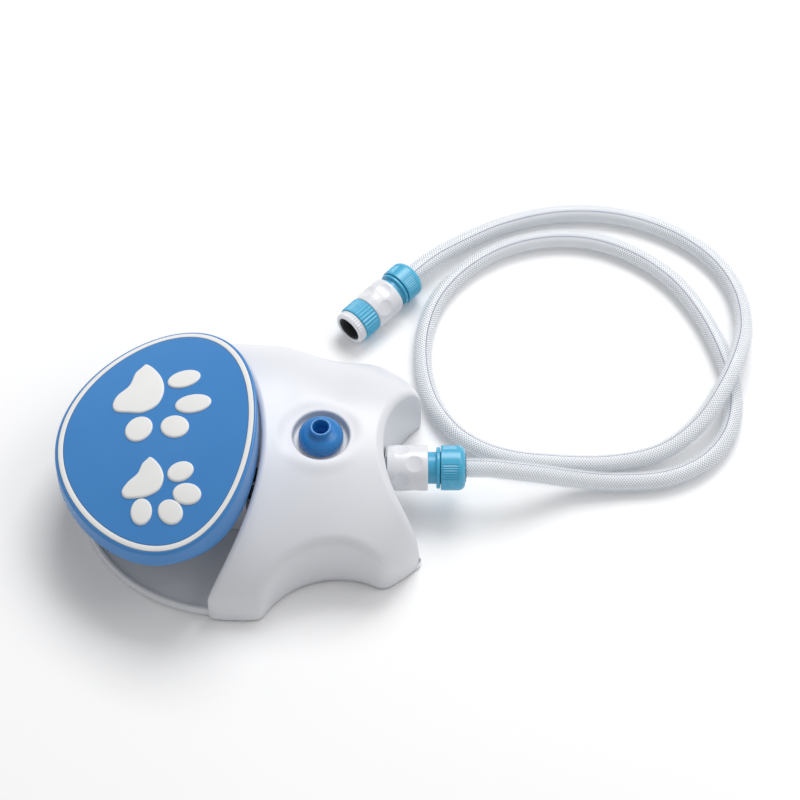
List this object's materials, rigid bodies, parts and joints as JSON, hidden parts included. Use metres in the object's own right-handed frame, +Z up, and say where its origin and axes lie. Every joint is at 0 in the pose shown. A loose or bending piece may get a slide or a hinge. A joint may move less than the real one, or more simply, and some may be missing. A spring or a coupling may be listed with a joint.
{
  "type": "step-activated pet drinking fountain",
  "caption": "Low white fountain housing with coves and feet, a tilted egg-shaped foot pedal that opens a valve, a top spout, and a loose clear hose with push-fit connectors.",
  "frame": {"origin": "on the ground, under the middle of the fountain's box measured without the hose and its connectors", "axes": "+X from the pedal towards the hose inlet, +Y across the fountain, +Z up"},
  "size_m": [0.5367, 0.3843, 0.1101],
  "materials": {
    "abs_white": "satin moulded",
    "abs_blue": "satin moulded",
    "abs_nozzle_blue": "satin moulded",
    "abs_cyan": "gloss moulded",
    "soft_white_inlay": "soft touch",
    "nylon_grey": "moulded",
    "rubber_black": "moulded",
    "steel": "drawn",
    "clear_pvc": "smooth extruded over braid"
  },
  "bodies": {
    "root": {"top_shell": "abs_white", "base_tray": "abs_white", "rubber_foot_rear_right": "rubber_black", "rubber_foot_front_right": "rubber_black", "rubber_foot_rear_left": "rubber_black", "rubber_foot_front_left": "rubber_black", "base_screw_rear_right": "steel", "base_screw_front_right": "steel", "base_screw_rear_left": "steel", "base_screw_front_left": "steel", "pivot_post_rear": "abs_white", "pivot_post_front": "abs_white", "hinge_pin": "steel", "hinge_pin_clip": "steel", "valve_body": "nylon_grey", "valve_seat_seal": "rubber_black", "valve_cap": "nylon_grey", "stem_seal": "rubber_black", "inlet_nipple": "abs_white", "inlet_nut": "nylon_grey", "inlet_o_ring": "rubber_black", "nozzle": "abs_nozzle_blue", "nozzle_gasket": "rubber_black", "nozzle_nut": "nylon_grey", "inlet_tube": "rubber_black", "outlet_tube": "rubber_black", "hose_clip_inlet_port": "steel", "hose_clip_outlet_port": "steel", "hose_nut_fountain_end": "abs_cyan", "connector_body_fountain_end": "abs_cyan", "hose_nut_tap_end": "abs_cyan", "connector_body_tap_end": "abs_cyan", "garden_hose": "clear_pvc"},
    "pedal": {"pedal_cover": "abs_blue", "pedal_frame": "nylon_grey", "pedal_pinstripe": "soft_white_inlay", "rear_paw_pad": "soft_white_inlay", "rear_paw_toe_1": "soft_white_inlay", "rear_paw_toe_2": "soft_white_inlay", "rear_paw_toe_3": "soft_white_inlay", "rear_paw_toe_4": "soft_white_inlay", "front_paw_pad": "soft_white_inlay", "front_paw_toe_1": "soft_white_inlay", "front_paw_toe_2": "soft_white_inlay", "front_paw_toe_3": "soft_white_inlay", "front_paw_toe_4": "soft_white_inlay", "frame_screw_rear": "steel", "frame_screw_front": "steel", "pivot_bush_rear": "nylon_grey", "pivot_bush_front": "nylon_grey"},
    "plunger": {"valve_plunger": "abs_white", "return_spring": "steel"},
    "collar_fountain_end": {"release_collar_fountain_end": "abs_white"},
    "collar_tap_end": {"release_collar_tap_end": "abs_white"},
    "tap_adaptor": {"tap_adaptor_ring": "abs_cyan", "thread_reducer": "abs_white", "reducer_washer": "rubber_black"}
  },
  "joints": [
    {"name": "pedal_hinge", "type": "hinge", "parent": "root", "child": "pedal", "pos_m": [-0.002, 0, 0.08], "axis": [0, -1, 0], "range_deg": [0, 6]},
    {"name": "plunger_slide", "type": "slide", "parent": "root", "child": "plunger", "axis": [0, 0, -1], "range_m": [0, 0.006], "stiffness_N_per_m": 1500, "springref_m": -0.006, "deforming": ["return_spring"]},
    {"name": "fountain_collar_slide", "type": "slide", "parent": "root", "child": "collar_fountain_end", "axis": [1, 0, 0], "range_m": [0, 0.004], "stiffness_N_per_m": 300, "springref_m": -0.003},
    {"name": "tap_collar_slide", "type": "slide", "parent": "root", "child": "collar_tap_end", "axis": [0.682, 0.7314, 0], "range_m": [0, 0.003], "stiffness_N_per_m": 300, "springref_m": -0.003},
    {"name": "tap_adaptor_swivel", "type": "hinge", "parent": "root", "child": "tap_adaptor", "pos_m": [0.1289, 0.1963, 0.0154], "axis": [-0.682, -0.7314, 0], "continuous": true}
  ],
  "couplings": [
    {"joint": "plunger_slide", "follows": "pedal_hinge", "m_per_rad": 0.0525}
  ]
}
